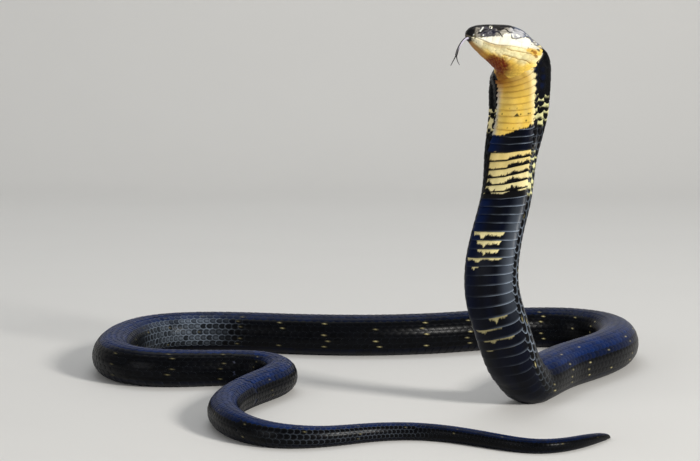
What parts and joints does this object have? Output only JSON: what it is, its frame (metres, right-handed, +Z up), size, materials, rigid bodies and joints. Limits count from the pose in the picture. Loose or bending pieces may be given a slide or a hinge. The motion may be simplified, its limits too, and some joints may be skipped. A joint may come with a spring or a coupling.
{
  "type": "king cobra",
  "caption": "Life-size king cobra at rest, its front reared up with the hood spread and the forked tongue out, the long body lying in loose curves on the floor.",
  "frame": {"origin": "middle of the animal's outline seen from above, on the floor", "axes": "+Z up; +X to the right as the picture shows it, along the longest extent; +Y away from the camera"},
  "size_m": [0.754, 0.7346, 0.472],
  "materials": {
    "black_scales": "glossy blue-black scales",
    "hood_scales": "glossy yellow belly scutes with black bands",
    "head_plates": "smooth dark head plates",
    "throat_skin": "cream and yellow throat skin",
    "eye": "wet and glossy",
    "tongue": "moist"
  },
  "bodies": {
    "root": {"head": "head_plates", "lower_jaw": "throat_skin", "eye_left": "eye", "eye_right": "eye", "tongue": "tongue", "hood": "hood_scales", "neck": "black_scales", "forebody": "black_scales", "trunk_1": "black_scales", "trunk_2": "black_scales", "trunk_3": "black_scales", "trunk_4": "black_scales", "trunk_5": "black_scales", "trunk_6": "black_scales", "trunk_7": "black_scales", "trunk_8": "black_scales", "trunk_9": "black_scales", "trunk_10": "black_scales", "tail_1": "black_scales", "tail_2": "black_scales", "tail_3": "black_scales", "tail_4": "black_scales"}
  },
  "joints": []
}
